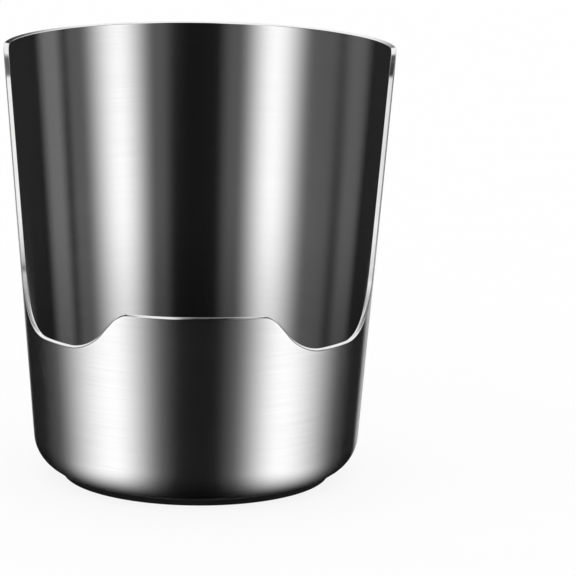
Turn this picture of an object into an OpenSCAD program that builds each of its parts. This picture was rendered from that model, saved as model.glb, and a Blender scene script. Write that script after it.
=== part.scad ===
// Utensil holder: a tapered steel cup, open at the front above a lip that also holds a pot lid.
// The cup stands on a black non-slip pad that a film of adhesive holds to its underside.
// Millimetres, +Z up, the cup's axis on Z, the pad's underside at z = 0, the window towards -Y.

/* [Cup] */
// Outside diameter at the rim
rim_d = 140; // [120:1:160]
// Outside diameter of the wall, carried down to the underside of the cup as if it had no corner
foot_d = 116; // [108:1:132]
// Height of the cup alone, from its underside to the rim
cup_h = 154; // [135:1:180]
// Thickness of the drawn steel sheet
wall = 1.8; // [0.8:0.1:2.4]
// Outside radius of the corner between the wall and the floor
corner_r = 13; // [8:0.5:18]

/* [Window] */
// Height of the tongue in the middle of the lip, above the underside of the cup
tongue_h = 68.5; // [62:0.5:76]
// How far the notches beside the tongue are sunk below it
notch_depth = 14.5; // [13:0.5:17]
// Width of the tongue along the wall, between the corners where its slopes begin
tongue_w = 55; // [40:0.5:56]
// Angle of the tongue's slopes to the horizontal, in degrees
slope_angle = 47; // [42:1:50]
// Turn from the front to each side edge of the window at the level of the notches, in degrees
edge_angle = 81.5; // [79:0.5:84]
// How much further round each side edge stands at the rim, in degrees
edge_lean = 1.5; // [0.5:0.5:6]
// Radius on the tongue's two shoulders
shoulder_r = 8; // [3:0.5:10]
// Radius at the foot of the tongue's slopes
notch_inner_r = 23; // [6:1:24]
// Radius where each notch turns up into the side edge
notch_outer_r = 25; // [8:1:28]
// Radius where each side edge turns over into the rim
rim_corner_r = 12; // [4:0.5:16]

/* [Base] */
// Thickness of the non-slip pad
pad_t = 2; // [1:0.1:4]
// How far the pad reaches past the flat of the cup's floor
pad_overhang = 2.5; // [0:0.1:4]
// Radius on the pad's lower edge
pad_edge_r = 0.6; // [0.2:0.1:0.9]
// Depth of the round grip grooves in the pad's underside
groove_depth = 0.5; // [0.2:0.1:0.8]
// Width of a grip groove
groove_w = 2; // [1.6:0.1:2.6]
// Radius of the innermost grip groove
first_groove_r = 10; // [5:1:20]
// Distance between grip grooves, centre to centre
groove_pitch = 5; // [4:0.5:8]
// Thickness of the adhesive film
film_t = 0.2; // [0.1:0.05:0.5]
// How far the film stays inside the flat of the cup's floor
film_margin = 1; // [0.5:0.5:4]

/* [Hidden] */
$fn = 128;

// The cup rests on the film, and the film on the pad.
cup_z = pad_t + film_t;

// The wall leans out by this angle from the vertical.
taper = atan((rim_d - foot_d) / 2 / cup_h);

// Centre of the corner between wall and floor, from the axis and from the underside.
corner_x = foot_d / 2 + corner_r * tan(taper) - corner_r / cos(taper);
corner_z = corner_r;

pad_r = corner_x + pad_overhang;
film_r = corner_x - film_margin;

// The outline of the window is drawn on the wall unrolled at this radius, that of the tongue's top.
unroll_r = foot_d / 2 + tongue_h * tan(taper);
notch_h = tongue_h - notch_depth;
slope_run = notch_depth / tan(slope_angle);

// The cutter is a ring sector that clears the wall on both sides and stands above the rim.
cutter_clearance = 8;
cutter_in_r = foot_d / 2 - wall - cutter_clearance;
cutter_out_r = rim_d / 2 + cutter_clearance;
cutter_top = cup_h + cutter_clearance;
// The outline ends this far above the rim, so that it crosses the rim's flat at an angle.
rim_cross = 0.15;
// Longest straight step along the outline
outline_step = 9;
// Steps in each rounded corner of the outline
corner_steps = 10;

// Distance along the unrolled wall that a turn about the axis covers
function arc_length(angle) = unroll_r * angle * PI / 180;

// Points of a circle's arc that rounds the corner b between a and c
function corner_arc(a, b, c, r) =
    let (u = (a - b) / norm(a - b),
         v = (c - b) / norm(c - b),
         half = acos(u * v) / 2,
         centre = b + (u + v) / norm(u + v) * r / sin(half),
         start = b + u * r / tan(half) - centre,
         turn = (180 - 2 * half) * (cross(start, v) > 0 ? 1 : -1))
    [for (i = [0 : corner_steps])
        let (t = turn * i / corner_steps)
        centre + [start.x * cos(t) - start.y * sin(t), start.x * sin(t) + start.y * cos(t)]];

// The straight run from a to b in even steps, without its last point
function run(a, b) =
    let (steps = max(1, ceil(norm(b - a) / outline_step)))
    [for (i = [0 : steps - 1]) a + (b - a) * i / steps];

// One half of the outline as sharp corners: distance along the wall, height above the underside
half_corners = [
    [0, tongue_h],
    [tongue_w / 2, tongue_h],
    [tongue_w / 2 + slope_run, notch_h],
    [arc_length(edge_angle), notch_h],
    [arc_length(edge_angle + edge_lean), cup_h],
    [arc_length(edge_angle + edge_lean) + 2 * rim_corner_r, cup_h + rim_cross]
];
// The radii that round its corners, all but the first and the last
corner_radii = [shoulder_r, notch_inner_r, notch_outer_r, rim_corner_r];

// The same half with its corners rounded
rounded = [
    half_corners[0],
    for (i = [1 : len(half_corners) - 2])
        each corner_arc(half_corners[i - 1], half_corners[i], half_corners[i + 1], corner_radii[i - 1]),
    half_corners[len(half_corners) - 1]
];
half_outline = [
    for (i = [0 : len(rounded) - 2]) each run(rounded[i], rounded[i + 1]),
    rounded[len(rounded) - 1]
];

// The whole outline, from the left end to the right end
outline = [
    for (i = [len(half_outline) - 1 : -1 : 1]) [-half_outline[i].x, half_outline[i].y],
    each half_outline
];

// A point at a distance along the unrolled wall, a radius and a height
function on_ring(s, r, z) =
    let (angle = s / arc_length(1))
    [r * sin(angle), -r * cos(angle), z];

// Everything above the outline, as a ring sector whose lower face is drawn with radial lines
module window_cutter() {
    n = len(outline);
    points = [
        for (p = outline) on_ring(p.x, cutter_in_r, p.y),
        for (p = outline) on_ring(p.x, cutter_out_r, p.y),
        for (p = outline) on_ring(p.x, cutter_in_r, cutter_top),
        for (p = outline) on_ring(p.x, cutter_out_r, cutter_top)
    ];
    // Each pair of rows that a wall of the sector joins
    walls = [[0, n], [n, 3 * n], [3 * n, 2 * n], [2 * n, 0]];
    faces = [
        for (w = walls, i = [0 : n - 2]) each [
            [w[0] + i, w[1] + i, w[1] + i + 1],
            [w[0] + i, w[1] + i + 1, w[0] + i + 1]
        ],
        [0, 2 * n, 3 * n, n],
        [n - 1, 2 * n - 1, 4 * n - 1, 3 * n - 1]
    ];
    polyhedron(points, faces);
}

// Half section of the space inside the cup's outer face, drawn in by an inset
module cup_section(inset, top) {
    r = corner_r - inset;
    wall_x = foot_d / 2 - inset / cos(taper);
    polygon([
        [0, inset],
        [corner_x, inset],
        [corner_x + r * cos(taper), corner_z - r * sin(taper)],
        [wall_x + top * tan(taper), top],
        [0, top]
    ]);
    translate([corner_x, corner_z]) circle(r);
}

// The drawn cup with its window
module cup() {
    color("silver")
    translate([0, 0, cup_z])
    difference() {
        rotate_extrude()
        difference() {
            cup_section(0, cup_h);
            cup_section(wall, cup_h + wall);
        }
        window_cutter();
    }
}

// The adhesive between the cup's underside and the pad
module adhesive_film() {
    color("ivory")
    translate([0, 0, pad_t])
    cylinder(r = film_r, h = film_t);
}

// Section of one round-bottomed grip groove, centred at a distance from the axis
module groove_section(x) {
    // Radius of the circle that gives the groove its width and depth
    r = (pow(groove_w / 2, 2) + pow(groove_depth, 2)) / (2 * groove_depth);
    translate([x, groove_depth - r]) circle(r);
}

// The pad, with a rounded lower edge and round grip grooves
module non_slip_pad() {
    color("dimgray")
    rotate_extrude()
    difference() {
        union() {
            translate([0, pad_edge_r]) square([pad_r, pad_t - pad_edge_r]);
            square([pad_r - pad_edge_r, pad_t]);
            translate([pad_r - pad_edge_r, pad_edge_r]) circle(pad_edge_r);
        }
        // The last groove stays half a pitch or more inside the pad's edge.
        for (x = [first_groove_r : groove_pitch : pad_r - groove_pitch / 2]) groove_section(x);
    }
}

cup();
adhesive_film();
non_slip_pad();
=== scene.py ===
"""Utensil holder: the looks of a tapered brushed-steel cup that stands on a black non-slip pad."""

import functools
import math

import bpy
import numpy as np
from mathutils import Matrix, Vector


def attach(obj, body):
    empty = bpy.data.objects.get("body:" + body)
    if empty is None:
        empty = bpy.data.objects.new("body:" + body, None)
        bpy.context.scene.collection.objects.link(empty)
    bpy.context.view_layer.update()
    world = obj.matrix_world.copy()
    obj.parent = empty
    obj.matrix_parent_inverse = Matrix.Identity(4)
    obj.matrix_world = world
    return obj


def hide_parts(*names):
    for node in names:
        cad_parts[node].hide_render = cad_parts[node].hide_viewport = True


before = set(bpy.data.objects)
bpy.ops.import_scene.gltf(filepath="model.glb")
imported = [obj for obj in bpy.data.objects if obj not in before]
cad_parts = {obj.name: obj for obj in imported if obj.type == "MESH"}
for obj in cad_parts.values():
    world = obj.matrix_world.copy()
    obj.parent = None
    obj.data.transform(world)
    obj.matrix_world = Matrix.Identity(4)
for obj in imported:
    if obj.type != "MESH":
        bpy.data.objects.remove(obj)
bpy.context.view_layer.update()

MM = 0.001

# Sizes of the cup, as in the part's source
RIM_R = 70 * MM
FOOT_R = 58 * MM
CUP_H = 154 * MM
WALL = 1.8 * MM
CORNER_R = 13 * MM
TONGUE_H = 68.5 * MM
NOTCH_DEPTH = 14.5 * MM
TONGUE_W = 55 * MM
SLOPE_ANGLE = math.radians(47)
EDGE_ANGLE = math.radians(81.5)
EDGE_LEAN = math.radians(1.5)
SHOULDER_R = 8 * MM
NOTCH_INNER_R = 23 * MM
NOTCH_OUTER_R = 25 * MM
RIM_CORNER_R = 12 * MM

# The cut edge: the radius on its corners, along the lip, up the window's sides and round the rim
LIP_EDGE_R = 0.88 * MM
SIDE_EDGE_R = 0.25 * MM
RIM_EDGE_R = 0.2 * MM
# How far its face leans in: on the rim, and on the sides, where the lean grows between two heights
RIM_BEVEL = math.radians(12)
SIDE_BEVEL = math.radians(17)
BEVEL_FROM = 42 * MM
BEVEL_TO = 105 * MM
# The sines of the lip's slope between which the radius and the lean change to those of the sides
RADIUS_SLOPES = (0.6, 0.95)
BEVEL_SLOPES = (0.1, 0.6)

# Sizes of the pad and the film
PAD_T = 2 * MM
PAD_OVERHANG = 2.5 * MM
PAD_EDGE_R = 0.6 * MM
PAD_TOP_EDGE_R = 0.25 * MM
GROOVE_DEPTH = 0.5 * MM
GROOVE_W = 2 * MM
FIRST_GROOVE_R = 10 * MM
GROOVE_PITCH = 5 * MM
FILM_T = 0.2 * MM
FILM_MARGIN = 1 * MM

# What follows from them
CUP_Z = PAD_T + FILM_T
TAPER = math.atan((RIM_R - FOOT_R) / CUP_H)
CORNER_X = FOOT_R + CORNER_R * math.tan(TAPER) - CORNER_R / math.cos(TAPER)
UNROLL_R = FOOT_R + TONGUE_H * math.tan(TAPER)
HALF_WALL = WALL / 2
PAD_R = CORNER_X + PAD_OVERHANG
FILM_R = CORNER_X - FILM_MARGIN

# How finely the shapes are drawn
LONGEST_LIP_STEP = 2.2 * MM
LIP_ARC_STEPS = 16
# How many radians of turn a metre of climb along the lip counts for, when the columns are spread
# round the foot
SIDE_EDGE_SPREAD = 4.0
WALL_ROWS = 26
CORNER_ROWS = 12
EDGE_ROWS = 5
FLOOR_ROWS = 5
LATHE_STEPS = 192
GROOVE_STEPS = 8
PAD_EDGE_STEPS = 6
PAD_TOP_EDGE_STEPS = 4
# The rings of the pad's top and of the film, as shares of their radii
PAD_TOP_RINGS = (0.9, 0.6, 0.3, 0)
FILM_RINGS = (0, 0.33, 0.67, 1)
SHARP_ANGLE = math.radians(40)

# The camera, fitted to the photograph's frame of 576 x 576
CAMERA_PLACE = (14.3 * MM, -1190.7 * MM, 315.5 * MM)
CAMERA_YAW = math.radians(0.882)
CAMERA_PITCH = math.radians(11.713)
CAMERA_ROLL = 0.016
CAMERA_LENS = 210.27
CAMERA_SENSOR = 36


def make_camera():
    data = bpy.data.cameras.new("camera")
    data.sensor_width = CAMERA_SENSOR
    data.lens = CAMERA_LENS
    data.clip_start = 0.05
    data.clip_end = 50
    camera = bpy.data.objects.new("camera", data)
    bpy.context.scene.collection.objects.link(camera)
    level = math.cos(CAMERA_PITCH)
    ahead = Vector((
        math.sin(CAMERA_YAW) * level,
        math.cos(CAMERA_YAW) * level,
        -math.sin(CAMERA_PITCH),
    ))
    turn = ahead.to_track_quat("-Z", "Y").to_matrix() @ Matrix.Rotation(CAMERA_ROLL, 3, "Z")
    camera.matrix_world = Matrix.Translation(CAMERA_PLACE) @ turn.to_4x4()
    bpy.context.scene.camera = camera


make_camera()


# Shapes


def mesh_from_rows(name, rows):
    """Quads between rings of points, with a fan where a ring is a single point."""
    points, index = [], []
    for row in rows:
        index.append(range(len(points), len(points) + len(row)))
        points.extend(tuple(p) for p in row)
    faces, face_rows = [], []
    for k, (low, high) in enumerate(zip(index[:-1], index[1:])):
        count = max(len(low), len(high))
        for i in range(count):
            j = (i + 1) % count
            if len(low) == 1:
                faces.append((low[0], high[j], high[i]))
            elif len(high) == 1:
                faces.append((low[i], low[j], high[0]))
            else:
                faces.append((low[i], low[j], high[j], high[i]))
            face_rows.append(k)
    data = bpy.data.meshes.new(name)
    data.from_pydata(points, [], faces)
    data.polygons.foreach_set("use_smooth", [True] * len(faces))
    piece = bpy.data.objects.new(name, data)
    bpy.context.scene.collection.objects.link(piece)
    return piece, face_rows


def corner_arc(a, b, c, r):
    """Points of the circle's arc that rounds the corner b between a and c."""
    u = (a - b) / np.linalg.norm(a - b)
    v = (c - b) / np.linalg.norm(c - b)
    half = math.acos(u @ v) / 2
    centre = b + (u + v) / np.linalg.norm(u + v) * r / math.sin(half)
    x, y = b + u * r / math.tan(half) - centre
    side = 1 if x * v[1] - y * v[0] > 0 else -1
    turns = np.linspace(0, (math.pi - 2 * half) * side, LIP_ARC_STEPS + 1)
    cos, sin = np.cos(turns), np.sin(turns)
    return centre + np.column_stack([x * cos - y * sin, x * sin + y * cos])


def lip_outline():
    """The right half of the lip as turns from the front and heights above the cup's underside."""
    notch_h = TONGUE_H - NOTCH_DEPTH
    slope_run = NOTCH_DEPTH / math.tan(SLOPE_ANGLE)
    corners = np.array([
        [0, TONGUE_H],
        [TONGUE_W / 2, TONGUE_H],
        [TONGUE_W / 2 + slope_run, notch_h],
        [UNROLL_R * EDGE_ANGLE, notch_h],
        [UNROLL_R * (EDGE_ANGLE + EDGE_LEAN), CUP_H],
        [UNROLL_R * math.pi, CUP_H],
    ])
    radii = (SHOULDER_R, NOTCH_INNER_R, NOTCH_OUTER_R, RIM_CORNER_R)
    arcs = [corner_arc(*corners[i:i + 3], r) for i, r in enumerate(radii)]
    sharp = np.concatenate([corners[:1], *arcs, corners[-1:]])
    path = [sharp[0]]
    for a, b in zip(sharp[:-1], sharp[1:]):
        steps = max(1, math.ceil(np.linalg.norm(b - a) / LONGEST_LIP_STEP))
        path.extend(a + (b - a) * k / steps for k in range(1, steps + 1))
    return np.array(path) / (UNROLL_R, 1)


def around(r, turn, z):
    """Points at a radius, a turn from the front and a height."""
    return np.column_stack(np.broadcast_arrays(r * np.sin(turn), -r * np.cos(turn), z))


def circle_turns():
    """Even turns once round the axis."""
    return np.linspace(0, 2 * math.pi, LATHE_STEPS, endpoint=False)


def wall_normal(turn):
    return around(math.cos(TAPER), turn, -math.sin(TAPER))


def wall_middle(turn, height):
    """Points halfway through the wall, at heights above the cup's underside."""
    r = FOOT_R + height * math.tan(TAPER) - HALF_WALL / math.cos(TAPER)
    return around(r, turn, CUP_Z + height)


def along_and_out(points, turn):
    """Unit directions along the lip, and out of the steel in the wall's surface."""
    along = np.roll(points, -1, 0) - np.roll(points, 1, 0)
    along /= np.linalg.norm(along, axis=1)[:, None]
    out = np.cross(wall_normal(turn), along)
    return along, out / np.linalg.norm(out, axis=1)[:, None]


def smooth_step(value, low, high):
    share = np.clip((value - low) / (high - low), 0, 1)
    return share * share * (3 - 2 * share)


def make_cup():
    half = lip_outline()
    turn = np.concatenate([half[:, 0], 2 * math.pi - half[-2:0:-1, 0]])
    height = np.concatenate([half[:, 1], half[-2:0:-1, 1]])
    lip = wall_middle(turn, height)
    normal = wall_normal(turn)
    along, out = along_and_out(lip, turn)
    # The cut face is level across the wall, and leans in up the sides and on the rim.
    climb = np.abs(along[:, 2])
    side_share = smooth_step(climb, *BEVEL_SLOPES) * smooth_step(height, BEVEL_FROM, BEVEL_TO)
    rim_lean = np.where(height > BEVEL_TO, RIM_BEVEL, 0)
    lean = TAPER + np.maximum(SIDE_BEVEL * side_share, rim_lean)
    level_r = np.where(height > CUP_H / 2, RIM_EDGE_R, LIP_EDGE_R)
    edge_r = level_r + (SIDE_EDGE_R - level_r) * smooth_step(climb, *RADIUS_SLOPES)
    inner_drop = edge_r + 2 * (HALF_WALL - edge_r) * np.tan(lean)

    def wall_end(drop):
        """Where the wall ends, a distance below the lip: turns and heights."""
        inside = lip - out * drop[:, None]
        return (
            np.unwrap(np.arctan2(inside[:, 0], -inside[:, 1])),
            inside[:, 2] - CUP_Z,
        )

    # Columns start spread round the foot, and bend towards their points on the lip.
    ring_turn = np.append(turn, 2 * math.pi)
    ring_height = np.append(height, height[0])
    shares = np.abs(np.diff(ring_turn)) + SIDE_EDGE_SPREAD * np.abs(np.diff(ring_height))
    base_turn = np.concatenate([[0], np.cumsum(shares)[:-1]]) * 2 * math.pi / shares.sum()
    wall_start = CORNER_R - (CORNER_R - HALF_WALL) * math.sin(TAPER)

    rows, normals, insides = [], [], []

    def add(points, directions, inside):
        rows.append(points)
        normals.append(directions)
        insides.append(inside)

    def add_corner(r, side, angles):
        for angle in angles:
            x, z = math.cos(angle), math.sin(angle)
            points = around(CORNER_X + r * x, base_turn, CUP_Z + CORNER_R + r * z)
            add(points, side * around(x, base_turn, z), side < 0)

    def add_wall(side, end, shares_up):
        end_turn, end_height = end
        for share in shares_up:
            row_turn = base_turn + (end_turn - base_turn) * share ** 2
            row_height = wall_start + (end_height - wall_start) * share
            row_normal = wall_normal(row_turn)
            points = wall_middle(row_turn, row_height) + side * HALF_WALL * row_normal
            add(points, side * row_normal, side < 0)

    def add_floor(z, side, shares_out):
        for share in shares_out:
            if share == 0:
                add(np.array([[0, 0, z]]), np.array([[0, 0, side]]), side > 0)
            else:
                points = around(CORNER_X * share, base_turn, z)
                add(points, around(0, base_turn, side), side > 0)

    def add_edge(x, drop, angles):
        for angle in angles:
            direction = np.cos(angle)[:, None] * normal + np.sin(angle)[:, None] * out
            centre = lip + x[:, None] * normal - drop[:, None] * out
            add(centre + edge_r[:, None] * direction, direction, False)

    floor_shares = np.linspace(0, 1, FLOOR_ROWS)
    corner_angles = np.linspace(-math.pi / 2, -TAPER, CORNER_ROWS)
    wall_shares = np.linspace(0, 1, WALL_ROWS)
    edge_shares = np.linspace(0, 1, EDGE_ROWS)
    # Up the outside from the middle of the underside
    add_floor(CUP_Z, -1, floor_shares)
    add_corner(CORNER_R, 1, corner_angles[1:])
    add_wall(1, wall_end(edge_r), wall_shares[1:])
    # Over the cut edge, with its outer corner first
    first_edge_row = len(rows) - 1
    face_angle = math.pi / 2 + lean
    outer_angles = [face_angle * share for share in edge_shares[1:]]
    inner_angles = [face_angle + (math.pi - face_angle) * share for share in edge_shares[:-1]]
    add_edge(HALF_WALL - edge_r, edge_r, outer_angles)
    add_edge(edge_r - HALF_WALL, inner_drop, inner_angles)
    # Down the inside to the middle of the floor
    add_wall(-1, wall_end(inner_drop), wall_shares[::-1])
    last_edge_row = len(rows) - WALL_ROWS
    add_corner(CORNER_R - WALL, -1, corner_angles[-2::-1])
    add_floor(CUP_Z + WALL, 1, floor_shares[-2::-1])

    piece, face_rows = mesh_from_rows("steel_cup", rows)
    data = piece.data
    data.normals_split_custom_set_from_vertices([tuple(n) for row in normals for n in row])
    on_edge = [int(first_edge_row <= k < last_edge_row) for k in face_rows]
    data.polygons.foreach_set("material_index", on_edge)
    from_lip = [np.linalg.norm(row - lip, axis=1)[:len(row)] for row in rows]
    add_attribute(data, "from_lip", from_lip)
    add_attribute(data, "inside", [np.full(len(row), flag) for row, flag in zip(rows, insides)])
    # The texture space is centred on the cup's axis, so that the grain's tangent runs round it.
    data.use_auto_texspace = False
    data.texspace_location = (0, 0, CUP_Z + CUP_H / 2)
    data.texspace_size = (RIM_R, RIM_R, CUP_H / 2)
    return piece


def add_attribute(data, name, values):
    attribute = data.attributes.new(name, "FLOAT", "POINT")
    attribute.data.foreach_set("value", np.concatenate(values).astype(np.float32))


def lathe(name, profile):
    """A solid of revolution from a half section that starts and ends on the axis."""
    turns = circle_turns()
    rows = [
        np.array([[0, 0, z]]) if r == 0 else around(r, turns, z)
        for r, z in profile
    ]
    piece, _ = mesh_from_rows(name, rows)
    piece.data.set_sharp_from_angle(angle=SHARP_ANGLE)
    return piece


def arc(x, z, r, start, end, steps):
    """Points of an arc in a half section, with angles in degrees."""
    angles = np.radians(np.linspace(start, end, steps + 1))
    return [(x + r * math.cos(a), z + r * math.sin(a)) for a in angles]


def make_pad():
    groove_r = ((GROOVE_W / 2) ** 2 + GROOVE_DEPTH ** 2) / (2 * GROOVE_DEPTH)
    groove_z = GROOVE_DEPTH - groove_r
    half_angle = math.degrees(math.asin(GROOVE_W / 2 / groove_r))
    profile = [(0, 0)]
    x = FIRST_GROOVE_R
    while x <= PAD_R - GROOVE_PITCH / 2:
        profile += arc(x, groove_z, groove_r, 90 + half_angle, 90 - half_angle, GROOVE_STEPS)
        x += GROOVE_PITCH
    profile += arc(PAD_R - PAD_EDGE_R, PAD_EDGE_R, PAD_EDGE_R, -90, 0, PAD_EDGE_STEPS)
    top_x, top_z = PAD_R - PAD_TOP_EDGE_R, PAD_T - PAD_TOP_EDGE_R
    profile += arc(top_x, top_z, PAD_TOP_EDGE_R, 0, 90, PAD_TOP_EDGE_STEPS)
    profile += [(PAD_R * share, PAD_T) for share in PAD_TOP_RINGS]
    return lathe("rubber_pad", profile)


def make_film():
    rings = [FILM_R * share for share in FILM_RINGS]
    profile = [(r, PAD_T) for r in rings] + [(r, CUP_Z) for r in reversed(rings)]
    return lathe("adhesive_sheet", profile)


# Materials


def add_node(tree, kind, inputs=None, **settings):
    made = tree.nodes.new("ShaderNode" + kind)
    for key, value in settings.items():
        setattr(made, key, value)
    for socket, value in (inputs or {}).items():
        if isinstance(value, bpy.types.NodeSocket):
            tree.links.new(value, made.inputs[socket])
        else:
            made.inputs[socket].default_value = value
    return made


def maths(tree, operation, *values):
    return add_node(tree, "Math", dict(enumerate(values)), operation=operation).outputs[0]


def plus(tree, *values):
    return functools.reduce(lambda a, b: maths(tree, "ADD", a, b), values)


def minus(tree, value, taken):
    return maths(tree, "SUBTRACT", value, taken)


def times(tree, *values):
    return functools.reduce(lambda a, b: maths(tree, "MULTIPLY", a, b), values)


def weighted(tree, *parts):
    """The sum of values, each times its weight."""
    return plus(tree, *(times(tree, value, weight) for value, weight in parts))


def root_of_squares(tree, *values):
    return maths(tree, "SQRT", plus(tree, *(times(tree, value, value) for value in values)))


def remap(tree, value, from_low, from_high, to_low, to_high, smooth=False):
    inputs = {
        "Value": value,
        "From Min": from_low,
        "From Max": from_high,
        "To Min": to_low,
        "To Max": to_high,
    }
    kind = "SMOOTHSTEP" if smooth else "LINEAR"
    return add_node(tree, "MapRange", inputs, interpolation_type=kind).outputs["Result"]


def noise(tree, place, scale, detail, roughness=0.5):
    inputs = {"Vector": place, "Scale": scale, "Detail": detail, "Roughness": roughness}
    return add_node(tree, "TexNoise", inputs).outputs["Fac"]


def by_noise(tree, value, low, high):
    """Spreads noise, which is seldom outside 0.3 to 0.7, between two levels."""
    return remap(tree, value, 0.3, 0.7, low, high)


def bump(tree, height, strength, distance):
    inputs = {"Height": height, "Strength": strength, "Distance": distance}
    return add_node(tree, "Bump", inputs).outputs[0]


def grey(tree, level):
    return add_node(tree, "CombineColor", {0: level, 1: level, 2: level}).outputs[0]


def attribute_value(tree, name):
    return add_node(tree, "Attribute", attribute_name=name).outputs["Fac"]


def own_place(tree):
    """The place on the piece, in metres."""
    return add_node(tree, "TexCoord").outputs["Object"]


def separate(tree, vector):
    return add_node(tree, "SeparateXYZ", {0: vector}).outputs


def new_material(name):
    material = bpy.data.materials.new(name)
    material.use_nodes = True
    material.node_tree.nodes.clear()
    return material, material.node_tree


def finish_material(tree, inputs):
    shader = add_node(tree, "BsdfPrincipled", inputs)
    output = add_node(tree, "OutputMaterial")
    tree.links.new(shader.outputs[0], output.inputs["Surface"])


# The tones and the roughness that each surface varies between
STEEL_TONES = (0.88, 0.92)
STEEL_ROUGHNESS = (0.26, 0.19)
EDGE_TONES = (0.76, 0.82)
EDGE_ROUGHNESS = (0.1, 0.18)
RUBBER_TONES = (0.006, 0.016)
RUBBER_ROUGHNESS = (0.7, 0.85)
ADHESIVE_TONES = ((0.62, 0.6, 0.54, 1), (0.78, 0.77, 0.72, 1))
ADHESIVE_ROUGHNESS = (0.35, 0.5)
FLOOR_TONES = (0.95, 0.97)
# Their relief: its strength and its height
STEEL_RELIEF = (0.07, 0.02 * MM)
EDGE_RELIEF = (0.1, 0.02 * MM)
RUBBER_RELIEF = (0.35, 0.08 * MM)
ADHESIVE_RELIEF = (0.2, 0.03 * MM)
# Their noise: its scale and its detail, and for the dust its roughness
EDGE_NICKS = (900, 3)
EDGE_WEAR = (90, 2)
RUBBER_GRAIN = (2600, 3)
RUBBER_DUST = (70, 4, 0.6)
ADHESIVE_CLOUD = (120, 4)
ADHESIVE_GRAIN = (1500, 2)
FLOOR_GRAIN = (40, 3)
# The steel's streaks, from fine to broad: how fast they change along and across, and their detail
FINE_STREAKS = (60, 5200, 3)
COARSE_STREAKS = (26, 1500, 2)
BROAD_STREAKS = (9, 160, 2)
# How wide the buffed band is along the cut edge, how much paler it is, and how much smoother
BUFFED_WIDTH = 2.5 * MM
BUFFED_PALER = 0.03
BUFFED_SMOOTHER = 0.06
# The inside is smoother by one factor, and its base colour darkens by another, a painted shade, on
# the way down between two heights
INSIDE_ROUGHNESS = 0.6
INSIDE_SHADE = 0.6
SHADE_FROM = 95 * MM
SHADE_TO = 25 * MM


def streaks_at(tree, along, across, detail):
    """Noise that runs slowly round the axis and fast up the wall, or out over the floor."""
    x, y, z = separate(tree, own_place(tree))
    r = root_of_squares(tree, x, y)
    inputs = {
        0: times(tree, x, along),
        1: times(tree, y, along),
        2: times(tree, plus(tree, z, r), across),
    }
    return noise(tree, add_node(tree, "CombineXYZ", inputs).outputs[0], 1, detail)


def brushed_steel():
    material, tree = new_material("brushed_steel")
    fine = streaks_at(tree, *FINE_STREAKS)
    coarse = streaks_at(tree, *COARSE_STREAKS)
    broad = streaks_at(tree, *BROAD_STREAKS)
    streaks = weighted(tree, (fine, 0.6), (coarse, 0.4))
    tone = weighted(tree, (streaks, 0.8), (broad, 0.2))
    from_lip = attribute_value(tree, "from_lip")
    buffed = remap(tree, from_lip, 0, BUFFED_WIDTH, 1, 0, smooth=True)
    level = by_noise(tree, tone, *STEEL_TONES)
    level = plus(tree, level, times(tree, buffed, BUFFED_PALER))
    # The steel doesn't mirror itself, and so the deep inside gets a painted shade in its base
    # colour here, darker towards the floor.
    inside = attribute_value(tree, "inside")
    z = separate(tree, own_place(tree))["Z"]
    painted_shade = times(tree, inside, remap(tree, z, SHADE_FROM, SHADE_TO, 0, 1, smooth=True))
    level = times(tree, level, remap(tree, painted_shade, 0, 1, 1, INSIDE_SHADE))
    rough = by_noise(tree, tone, *STEEL_ROUGHNESS)
    rough = minus(tree, rough, times(tree, buffed, BUFFED_SMOOTHER))
    rough = times(tree, rough, remap(tree, inside, 0, 1, 1, INSIDE_ROUGHNESS))
    tangent = add_node(tree, "Tangent", direction_type="RADIAL", axis="Z")
    finish_material(tree, {
        "Base Color": grey(tree, level),
        "Metallic": 1.0,
        "Roughness": rough,
        "Anisotropic": 0.7,
        "Anisotropic Rotation": 0.25,
        "Tangent": tangent.outputs[0],
        "Normal": bump(tree, streaks, *STEEL_RELIEF),
    })
    return material


def polished_edge():
    material, tree = new_material("polished_edge")
    place = own_place(tree)
    nicks = noise(tree, place, *EDGE_NICKS)
    wear = noise(tree, place, *EDGE_WEAR)
    finish_material(tree, {
        "Base Color": grey(tree, by_noise(tree, wear, *EDGE_TONES)),
        "Metallic": 1.0,
        "Roughness": by_noise(tree, nicks, *EDGE_ROUGHNESS),
        "Normal": bump(tree, nicks, *EDGE_RELIEF),
    })
    return material


def black_rubber():
    material, tree = new_material("black_rubber")
    place = own_place(tree)
    grain = noise(tree, place, *RUBBER_GRAIN)
    dust = noise(tree, place, *RUBBER_DUST)
    tone = weighted(tree, (grain, 0.3), (dust, 0.7))
    finish_material(tree, {
        "Base Color": grey(tree, remap(tree, tone, 0.35, 0.7, *RUBBER_TONES)),
        "Roughness": by_noise(tree, dust, *RUBBER_ROUGHNESS),
        "Specular IOR Level": 0.12,
        "Normal": bump(tree, grain, *RUBBER_RELIEF),
    })
    return material


def milky_adhesive():
    material, tree = new_material("milky_adhesive")
    place = own_place(tree)
    cloud = noise(tree, place, *ADHESIVE_CLOUD)
    grain = noise(tree, place, *ADHESIVE_GRAIN)
    tones = {0: cloud, 1: ADHESIVE_TONES[0], 2: ADHESIVE_TONES[1]}
    finish_material(tree, {
        "Base Color": add_node(tree, "MixRGB", tones).outputs[0],
        "Roughness": by_noise(tree, cloud, *ADHESIVE_ROUGHNESS),
        "Normal": bump(tree, grain, *ADHESIVE_RELIEF),
    })
    return material


cup = make_cup()
cup.data.materials.append(brushed_steel())
cup.data.materials.append(polished_edge())
pad = make_pad()
pad.data.materials.append(black_rubber())
film = make_film()
film.data.materials.append(milky_adhesive())

for piece, node, slot in (
    (cup, "cup", "brushed_steel"),
    (pad, "non_slip_pad", "black_rubber"),
    (film, "adhesive_film", "adhesive"),
):
    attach(piece, "root")
    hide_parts(node)
    # The steel mirrors the studio alone, and not the cup or what is under it.
    piece.visible_glossy = False


# The studio


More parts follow.
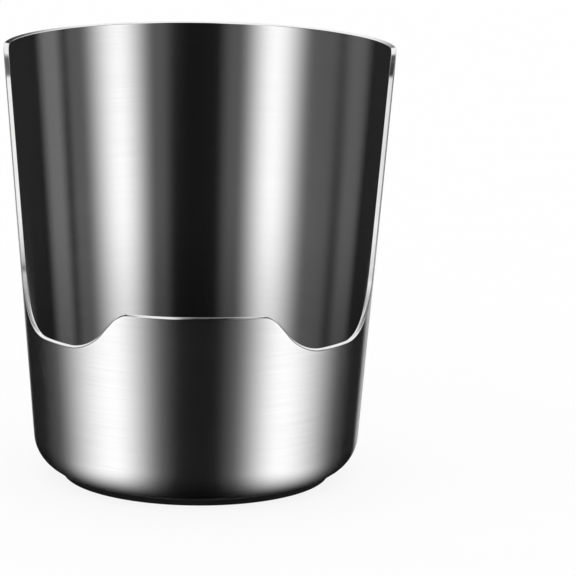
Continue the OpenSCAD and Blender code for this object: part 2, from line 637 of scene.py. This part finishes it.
# What the steel mirrors is laid out round the cup, by the x, y and z of unit directions that
# point away from it, and by their turn from the front and their rise from level, in degrees.
# Left and right meet over this much of x, on both sides of the middle.
MIDDLE = 0.05
# The level of light where there is no panel, and the strength of it all
DARKEST = 0.007
SURROUND_STRENGTH = 1.14

# Each row is one panel: the turns where its light begins, is full, begins to fall and is gone,
# and its level.
LEFT_LOW = (
    (19.5, 57.5, 62, 112, 0.96),
    (11, 23, 103, 132, 0.06),
)
RIGHT_LOW = (
    (23, 60, 64, 115, 0.95),
    (13, 25, 104, 133, 0.06),
)
LEFT_HIGH = (
    (23, 47, 47, 74, 0.88),
    (9, 20, 86, 99, 0.07),
    (93, 107, 114, 128, 0.088),
    (120, 132, 190, 191, 0.0085),
)
RIGHT_HIGH = (
    (28.5, 53, 53, 82, 0.91),
    (15, 26, 87, 96, 0.068),
    (93, 104, 111, 125, 0.125),
    (120, 132, 190, 191, 0.0085),
)
LEFT_BACKDROP = (
    (160, 170, 190, 191, 0.25),
    (170, 176, 190, 191, 0.6),
)
RIGHT_BACKDROP = (
    (150, 160, 190, 191, 0.42),
    (170, 176, 190, 191, 0.45),
)
# The rises between which the low panels give way to the high ones, and the backdrops end
LOW_TO_HIGH = (-15, -7)
BACKDROP_END = (-12.5, -10.5)
# The left high panels slant by this share of their turn, between these rises.
HIGH_SLANT = 0.07
HIGH_SLANT_RISES = (-4.5, -0.5)
# The low panels curve round the point that the camera looks towards past the foot of the cup,
# this far along y and down z, so that from the front they follow the corner into the base.
FAR_POINT_Y = 0.97
FAR_POINT_DROP = 0.24
# As they dip below that point, they slant by this many degrees and fade out: the sines of the
# dips between which they do.
LOW_SLANT = 4
LOW_SLANT_DIPS = (0.08, 0.7)
LOW_FADE_DIPS = (0.08, 0.88)

CEILING_LEVEL = 0.95
# The rises over which the ceiling takes over from the panels, and how many degrees higher that
# is at the back and at the front on the left, each with the span of y where it changes
CEILING_RISES = (0, 14)
BACK_LIFT = 6
BACK_LIFT_SPAN = (0, 0.9)
FRONT_LIFT = 14
FRONT_LIFT_SPAN = (-0.45, -0.25)
# The gap in the ceiling's lights: its two soft edges, as x over a width that shrinks towards the
# back, down to a least one, and the spans of y and of the rise where it closes, high at the back
GAP_LEFT_EDGE = (-0.14, -0.06)
GAP_RIGHT_EDGE = (0.15, 0.44)
GAP_NARROWING = 1.1
GAP_LEAST_WIDTH = 0.2
GAP_CLOSED_SPAN = (0.7, 0.8)
GAP_CLOSED_RISES = (17, 26)
# The light over the back begins here along y. It begins further back the higher it is, and on
# the left also nearer the middle, by a setback that grows over a span of x.
BACK_LIGHT_EDGE = (-0.06, 0.07)
BACK_LIGHT_SLOPE = 0.35
BACK_LIGHT_SETBACK = 0.28
BACK_LIGHT_SETBACK_SPAN = (-0.55, -0.4)
# The light over the front ends here to the sides. It ends nearer the middle the higher it is,
# and on the left also the further back it is. It begins between two rises.
FRONT_LIGHT_EDGE = (0.78, 0.9)
FRONT_LIGHT_SLOPE = 0.45
FRONT_LIGHT_TILT = 0.42
FRONT_LIGHT_RISES = (10, 20)
# How light the ceiling is beside its lights, on the left and the right, away from the middle
ASIDE_LEVELS = (0.035, 0.12)
ASIDE_EDGE = (0.15, 0.3)

WHITE = (1, 1, 1, 1)
FLOOR_R = 6
FLOOR_RINGS = (0.05, 0.2, 1)
# The share of plain white in the floor that the camera sees
FLOOR_WHITENING = 0.85


def blend(tree, share, first, second):
    """First where share is 0, second where it is 1."""
    inputs = {"Factor": share, "A": first, "B": second}
    return add_node(tree, "Mix", inputs, data_type="FLOAT").outputs[0]


def panels(tree, turn, rows):
    """The light of upright panels round the cup, by the turn from the front."""
    lights = []
    for begin, full, fall, gone, level in rows:
        grow = remap(tree, turn, begin, full, 0, level, smooth=True)
        stay = remap(tree, turn, fall, gone, 1, 0, smooth=True)
        lights.append(times(tree, grow, stay))
    return plus(tree, DARKEST, *lights)


def panel_light(tree, direction, rise, right):
    """The light of the panels and backdrops, which ends low under the cup."""
    x, y, z = direction
    sideways = maths(tree, "ABSOLUTE", x)
    turn = maths(tree, "ARCTAN2", sideways, times(tree, y, -1))
    turn = times(tree, turn, 180 / math.pi)
    # The left panels slant, and stand further round where they are lower.
    slant = remap(tree, rise, *HIGH_SLANT_RISES, 1 - HIGH_SLANT, 1)
    slanted = times(tree, turn, slant)
    high = blend(tree, right, panels(tree, slanted, LEFT_HIGH), panels(tree, turn, RIGHT_HIGH))

    # The low panels are laid out by the direction from each of their places to the far point:
    # by twice its turn from straight back, and by how steeply it rises. The surface that mirrors
    # the place to the camera has that turn from the front, and dips as steeply.
    toward = minus(tree, FAR_POINT_Y, y)
    down = minus(tree, -FAR_POINT_DROP, z)
    low_turn = times(tree, maths(tree, "ARCTAN2", sideways, toward), 2 * 180 / math.pi)
    dip = maths(tree, "DIVIDE", down, root_of_squares(tree, sideways, toward, down))
    low_turn = minus(tree, low_turn, remap(tree, dip, *LOW_SLANT_DIPS, 0, LOW_SLANT))

    def both_sides(left_rows, right_rows):
        return blend(
            tree, right,
            panels(tree, low_turn, left_rows),
            panels(tree, low_turn, right_rows),
        )

    low = both_sides(LEFT_LOW, RIGHT_LOW)
    backdrops = both_sides(LEFT_BACKDROP, RIGHT_BACKDROP)
    backdrops = times(tree, backdrops, remap(tree, rise, *BACKDROP_END, 1, 0, smooth=True))
    light = blend(tree, remap(tree, rise, *LOW_TO_HIGH, 0, 1, smooth=True), low, high)
    light = maths(tree, "MAXIMUM", light, backdrops)
    return times(tree, light, remap(tree, dip, *LOW_FADE_DIPS, 1, 0, smooth=True))


def ceiling_light(tree, direction, rise, left, right):
    """A light over the sides and the back and a narrower one over the front.

    Both have a gap right of the middle, which widens towards the front.
    """
    x, y, z = direction
    sideways = maths(tree, "ABSOLUTE", x)
    width = minus(tree, 1, times(tree, y, GAP_NARROWING))
    across = maths(tree, "DIVIDE", x, maths(tree, "MAXIMUM", width, GAP_LEAST_WIDTH))
    beside_gap = plus(
        tree,
        remap(tree, across, *GAP_LEFT_EDGE, 1, 0, smooth=True),
        remap(tree, across, *GAP_RIGHT_EDGE, 0, 1, smooth=True),
    )
    closed = times(
        tree,
        remap(tree, y, *GAP_CLOSED_SPAN, 0, 1),
        remap(tree, rise, *GAP_CLOSED_RISES, 0, 1),
    )
    beside_gap = maths(tree, "MAXIMUM", beside_gap, closed)

    spread = plus(tree, sideways, times(tree, z, FRONT_LIGHT_SLOPE))
    tilt = times(tree, remap(tree, y, 0, 1, 0, FRONT_LIGHT_TILT), left)
    spread = plus(tree, spread, tilt)
    front = remap(tree, spread, *FRONT_LIGHT_EDGE, 1, 0, smooth=True)
    front = times(tree, front, remap(tree, rise, *FRONT_LIGHT_RISES, 0, 1, smooth=True))

    setback = remap(tree, x, *BACK_LIGHT_SETBACK_SPAN, 0, BACK_LIGHT_SETBACK)
    behind = minus(tree, y, times(tree, z, BACK_LIGHT_SLOPE))
    behind = minus(tree, behind, times(tree, setback, left))
    back = remap(tree, behind, *BACK_LIGHT_EDGE, 0, 1, smooth=True)

    lit = maths(tree, "MAXIMUM", back, front)
    lights = times(tree, beside_gap, lit, CEILING_LEVEL)
    aside = times(
        tree,
        remap(tree, lit, 0, 1, 1, 0),
        remap(tree, sideways, *ASIDE_EDGE, 0, 1),
        remap(tree, right, 0, 1, *ASIDE_LEVELS),
    )
    return plus(tree, lights, aside, DARKEST)


def studio_light(tree):
    """All that the steel mirrors: panels and backdrops round the cup, and the ceiling."""
    direction = separate(tree, add_node(tree, "TexCoord").outputs["Generated"])
    x, y, z = direction
    rise = times(tree, maths(tree, "ARCSINE", z), 180 / math.pi)
    left = remap(tree, x, -MIDDLE, MIDDLE, 1, 0)
    right = remap(tree, x, -MIDDLE, MIDDLE, 0, 1)
    over = minus(tree, rise, remap(tree, y, *BACK_LIFT_SPAN, 0, BACK_LIFT, smooth=True))
    lift = times(tree, remap(tree, y, *FRONT_LIFT_SPAN, FRONT_LIFT, 0), left)
    over = minus(tree, over, lift)
    return blend(
        tree,
        remap(tree, over, *CEILING_RISES, 0, 1, smooth=True),
        panel_light(tree, direction, rise, right),
        ceiling_light(tree, direction, rise, left, right),
    )


def make_world():
    """Even white light, but for reflections, which show the studio."""
    world = bpy.data.worlds.new("studio")
    bpy.context.scene.world = world
    world.use_nodes = True
    world.cycles.sampling_method = "NONE"
    tree = world.node_tree
    tree.nodes.clear()
    seen = {"Color": studio_light(tree), "Strength": SURROUND_STRENGTH}
    mirrored = add_node(tree, "Background", seen)
    even = add_node(tree, "Background", {"Color": WHITE, "Strength": 1})
    glossy = add_node(tree, "LightPath").outputs["Is Glossy Ray"]
    mixed = add_node(tree, "MixShader", {0: glossy, 1: even.outputs[0], 2: mirrored.outputs[0]})
    output = add_node(tree, "OutputWorld")
    tree.links.new(mixed.outputs[0], output.inputs["Surface"])


def make_floor():
    """A pale floor that keeps the object's shadow, and that the steel doesn't mirror."""
    rows = [np.array([[0, 0, 0]])]
    rows += [around(FLOOR_R * share, circle_turns(), 0) for share in FLOOR_RINGS]
    floor, _ = mesh_from_rows("floor", rows)
    floor.data.flip_normals()
    floor.visible_glossy = False
    material, tree = new_material("pale_floor")
    grain = noise(tree, own_place(tree), *FLOOR_GRAIN)
    level = by_noise(tree, grain, *FLOOR_TONES)
    matt = add_node(tree, "BsdfDiffuse", {"Color": grey(tree, level)})
    white = add_node(tree, "Emission", {"Color": WHITE, "Strength": 1})
    camera = add_node(tree, "LightPath").outputs["Is Camera Ray"]
    share = times(tree, camera, FLOOR_WHITENING)
    mixed = add_node(tree, "MixShader", {0: share, 1: matt.outputs[0], 2: white.outputs[0]})
    output = add_node(tree, "OutputMaterial")
    tree.links.new(mixed.outputs[0], output.inputs["Surface"])
    floor.data.materials.append(material)


make_world()
make_floor()

bpy.context.scene.view_settings.view_transform = "Standard"
